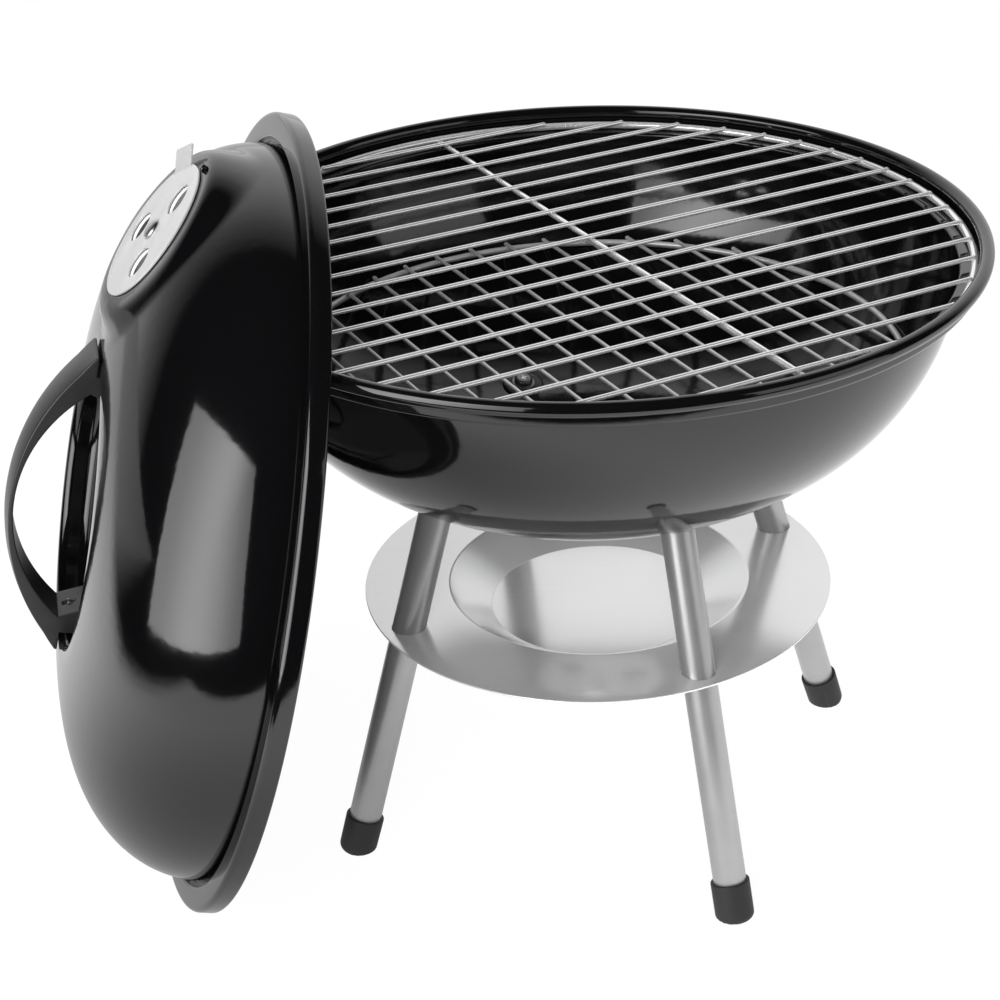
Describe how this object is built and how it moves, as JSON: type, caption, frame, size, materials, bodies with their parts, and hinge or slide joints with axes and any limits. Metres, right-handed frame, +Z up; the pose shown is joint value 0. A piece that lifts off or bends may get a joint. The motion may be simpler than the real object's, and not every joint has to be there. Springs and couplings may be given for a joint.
{
  "type": "kettle charcoal grill",
  "caption": "Portable kettle charcoal grill: round enamelled bowl with grates on splayed tube legs through an ash tray, domed lid leaning beside it.",
  "frame": {"origin": "on the bowl's axis at ground level, midway between the four feet", "axes": "+Z is up, +X is to the right of a person at the grill, +Y points away from that person; the lid leans on the -X side"},
  "size_m": [0.4586, 0.4062, 0.361],
  "materials": {
    "black_enamel": "glossy porcelain enamel on sheet steel",
    "satin_steel": "satin drawn tube",
    "brushed_steel": "brushed sheet",
    "bright_chrome": "bright plated wire",
    "dull_wire": "dull plated wire",
    "zinc_steel": "plain plated fastener",
    "black_rubber": "matt moulded rubber",
    "black_plastic": "satin moulded plastic"
  },
  "bodies": {
    "stand": {"bowl": "black_enamel", "leg_1": "satin_steel", "leg_2": "satin_steel", "leg_3": "satin_steel", "leg_4": "satin_steel", "foot_cap_1": "black_rubber", "foot_cap_2": "black_rubber", "foot_cap_3": "black_rubber", "foot_cap_4": "black_rubber", "leg_plugs": "black_plastic", "leg_screws": "zinc_steel", "leg_washers": "zinc_steel", "ash_tray": "brushed_steel", "bowl_damper_rivet": "zinc_steel"},
    "bowl_damper": {"bowl_damper": "brushed_steel"},
    "cooking_grate": {"cooking_grate_ring": "bright_chrome", "cooking_grate_bars": "bright_chrome", "cooking_grate_support": "bright_chrome"},
    "charcoal_grate": {"charcoal_grate_ring": "dull_wire", "charcoal_grate_wires": "dull_wire"},
    "lid": {"lid_shell": "black_enamel", "lid_handle": "black_plastic", "lid_handle_screws": "zinc_steel", "lid_handle_washers": "zinc_steel", "lid_damper_rivet": "zinc_steel"},
    "lid_damper": {"lid_damper": "brushed_steel"}
  },
  "joints": [
    {"name": "lid_lift", "type": "slide", "parent": "stand", "child": "lid", "axis": [0, 0, 1], "range_m": [0, 0.32]},
    {"name": "cooking_grate_lift", "type": "slide", "parent": "stand", "child": "cooking_grate", "axis": [0, 0, 1], "range_m": [0, 0.01]},
    {"name": "charcoal_grate_lift", "type": "slide", "parent": "stand", "child": "charcoal_grate", "axis": [0, 0, 1], "range_m": [0, 0.04]},
    {"name": "lid_damper_turn", "type": "hinge", "parent": "lid", "child": "lid_damper", "pos_m": [-0.18941, -0.04373, 0.32268], "axis": [-0.7207, -0.1664, 0.673], "range_deg": [-15, 60]},
    {"name": "bowl_damper_turn", "type": "hinge", "parent": "stand", "child": "bowl_damper", "pos_m": [0, 0, 0.182], "axis": [0, 0, -1], "range_deg": [0, 60]}
  ]
}
